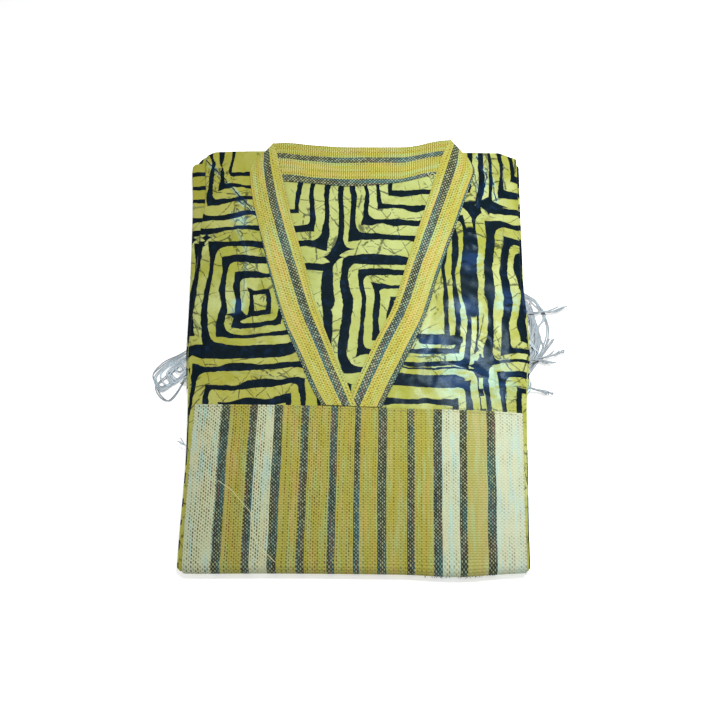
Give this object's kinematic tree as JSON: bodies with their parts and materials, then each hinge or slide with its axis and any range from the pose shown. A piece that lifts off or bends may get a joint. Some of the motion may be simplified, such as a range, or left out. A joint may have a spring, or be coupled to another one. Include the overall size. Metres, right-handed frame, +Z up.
{
  "type": "folded ankara dress",
  "caption": "V-neck dress in yellow and navy printed cotton, folded flat face up, with striped woven neckbands, a striped panel over the bottom fold and loose thread fringes.",
  "frame": {"origin": "on the surface it lies on, under the middle of the folded dress", "axes": "+Z up out of the face of the dress, +Y from the bottom fold to the neck, +X to the right as seen from above"},
  "size_m": [0.4233, 0.4583, 0.0223],
  "materials": {
    "printed_cotton": "glazed wax print, mustard yellow with navy squares",
    "inner_cotton": "paler inside face of the same print",
    "striped_cloth": "matt hand-woven stripes in gold, cream and dark",
    "thread": "matt white cotton thread"
  },
  "bodies": {
    "root": {"folded_skirt_layers": "printed_cotton", "sleeve_left": "printed_cotton", "sleeve_right": "printed_cotton", "dress_back": "inner_cotton", "front_yoke_left": "printed_cotton", "front_yoke_right": "printed_cotton", "skirt_front": "printed_cotton", "woven_panel": "striped_cloth", "neckband_left": "striped_cloth", "neckband_right": "striped_cloth", "neckband_back": "striped_cloth", "fringe_left": "thread", "fringe_right": "thread"}
  },
  "joints": []
}
